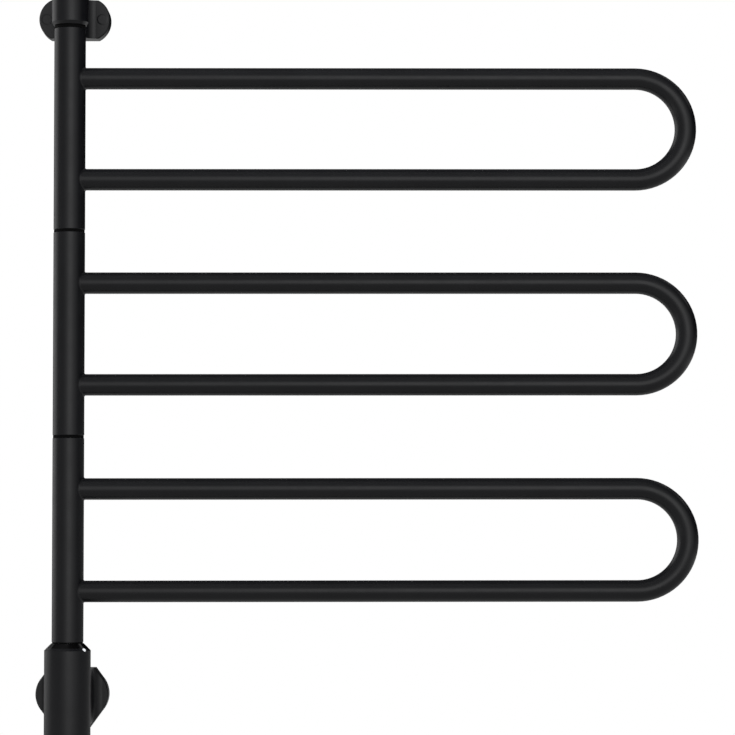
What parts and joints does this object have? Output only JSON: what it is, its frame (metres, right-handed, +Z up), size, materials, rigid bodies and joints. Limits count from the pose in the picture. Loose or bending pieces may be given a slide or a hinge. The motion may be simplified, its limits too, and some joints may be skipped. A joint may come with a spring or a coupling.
{
  "type": "heated towel rail",
  "caption": "Wall-mounted electric towel rail: U-shaped heated arms that swing on one upright post, with a control housing and lamp at its foot.",
  "frame": {"origin": "centre of the lower wall bracket's back face, on the wall", "axes": "+X along the arms at rest, +Y into the wall, +Z up"},
  "size_m": [0.634, 0.084, 0.7547],
  "materials": {
    "black_powder_coat": "satin powder coat",
    "gloss_black": "gloss",
    "black_bearing_plastic": "fine matt",
    "black_satin_plastic": "satin",
    "black_rubber": "matt",
    "heater_sheath": "silicone",
    "lead_insulation": "smooth",
    "spine_steel": "brushed",
    "zinc_steel": "zinc plated",
    "tinned_brass": "tin plated",
    "lens_white": "clear diffusing",
    "board_green": "solder mask",
    "terminal_grey": "moulded"
  },
  "bodies": {
    "wall_frame": {"spine_tube": "spine_steel", "spine_foot": "spine_steel", "spine_foot_screws": "zinc_steel", "bottom_seam_washer": "black_bearing_plastic", "lower_seam_washer": "black_bearing_plastic", "upper_seam_washer": "black_bearing_plastic", "top_seam_washer": "black_bearing_plastic", "lower_stop_ring": "black_bearing_plastic", "middle_stop_ring": "black_bearing_plastic", "upper_stop_ring": "black_bearing_plastic", "lower_lead": "lead_insulation", "middle_lead": "lead_insulation", "upper_lead": "lead_insulation", "lower_splice": "tinned_brass", "middle_splice": "tinned_brass", "upper_splice": "tinned_brass", "housing_tube": "black_powder_coat", "shoulder_ring": "gloss_black", "indicator_lens": "lens_white", "indicator_led": "lens_white", "control_board": "board_green", "board_carrier": "black_bearing_plastic", "arm_connector": "board_green", "supply_terminal": "terminal_grey", "terminal_screws": "tinned_brass", "dial_switch": "black_bearing_plastic", "bottom_cover": "black_satin_plastic", "cover_seal": "black_rubber", "lower_bracket": "black_powder_coat", "supply_grommet": "black_rubber", "housing_screws": "zinc_steel", "upper_bracket": "black_powder_coat", "upper_screw_caps": "black_satin_plastic", "top_collar": "black_powder_coat", "collar_screws": "zinc_steel", "collar_insert": "black_bearing_plastic", "top_cap": "black_powder_coat"},
    "knob": {"control_knob": "black_powder_coat", "knob_shaft": "zinc_steel"},
    "lower_swing": {"lower_sleeve": "black_powder_coat", "lower_arm": "black_powder_coat", "lower_top_bush": "black_bearing_plastic", "lower_bottom_bush": "black_bearing_plastic", "lower_heating_cable": "heater_sheath", "lower_cable_seal": "black_rubber", "lower_stop_pin": "zinc_steel"},
    "middle_swing": {"middle_sleeve": "black_powder_coat", "middle_arm": "black_powder_coat", "middle_top_bush": "black_bearing_plastic", "middle_bottom_bush": "black_bearing_plastic", "middle_heating_cable": "heater_sheath", "middle_cable_seal": "black_rubber", "middle_stop_pin": "zinc_steel"},
    "upper_swing": {"upper_sleeve": "black_powder_coat", "upper_arm": "black_powder_coat", "upper_top_bush": "black_bearing_plastic", "upper_bottom_bush": "black_bearing_plastic", "upper_heating_cable": "heater_sheath", "upper_cable_seal": "black_rubber", "upper_stop_pin": "zinc_steel"}
  },
  "joints": [
    {"name": "lower_arm_swing", "type": "hinge", "parent": "wall_frame", "child": "lower_swing", "pos_m": [0, -0.062, 0.149], "axis": [0, 0, -1], "range_deg": [0, 180]},
    {"name": "middle_arm_swing", "type": "hinge", "parent": "wall_frame", "child": "middle_swing", "pos_m": [0, -0.062, 0.345], "axis": [0, 0, -1], "range_deg": [0, 180]},
    {"name": "upper_arm_swing", "type": "hinge", "parent": "wall_frame", "child": "upper_swing", "pos_m": [0, -0.062, 0.541], "axis": [0, 0, -1], "range_deg": [0, 180]},
    {"name": "knob_turn", "type": "hinge", "parent": "wall_frame", "child": "knob", "pos_m": [0, -0.062, -0.069], "axis": [0, 0, 1], "range_deg": [0, 270]}
  ]
}
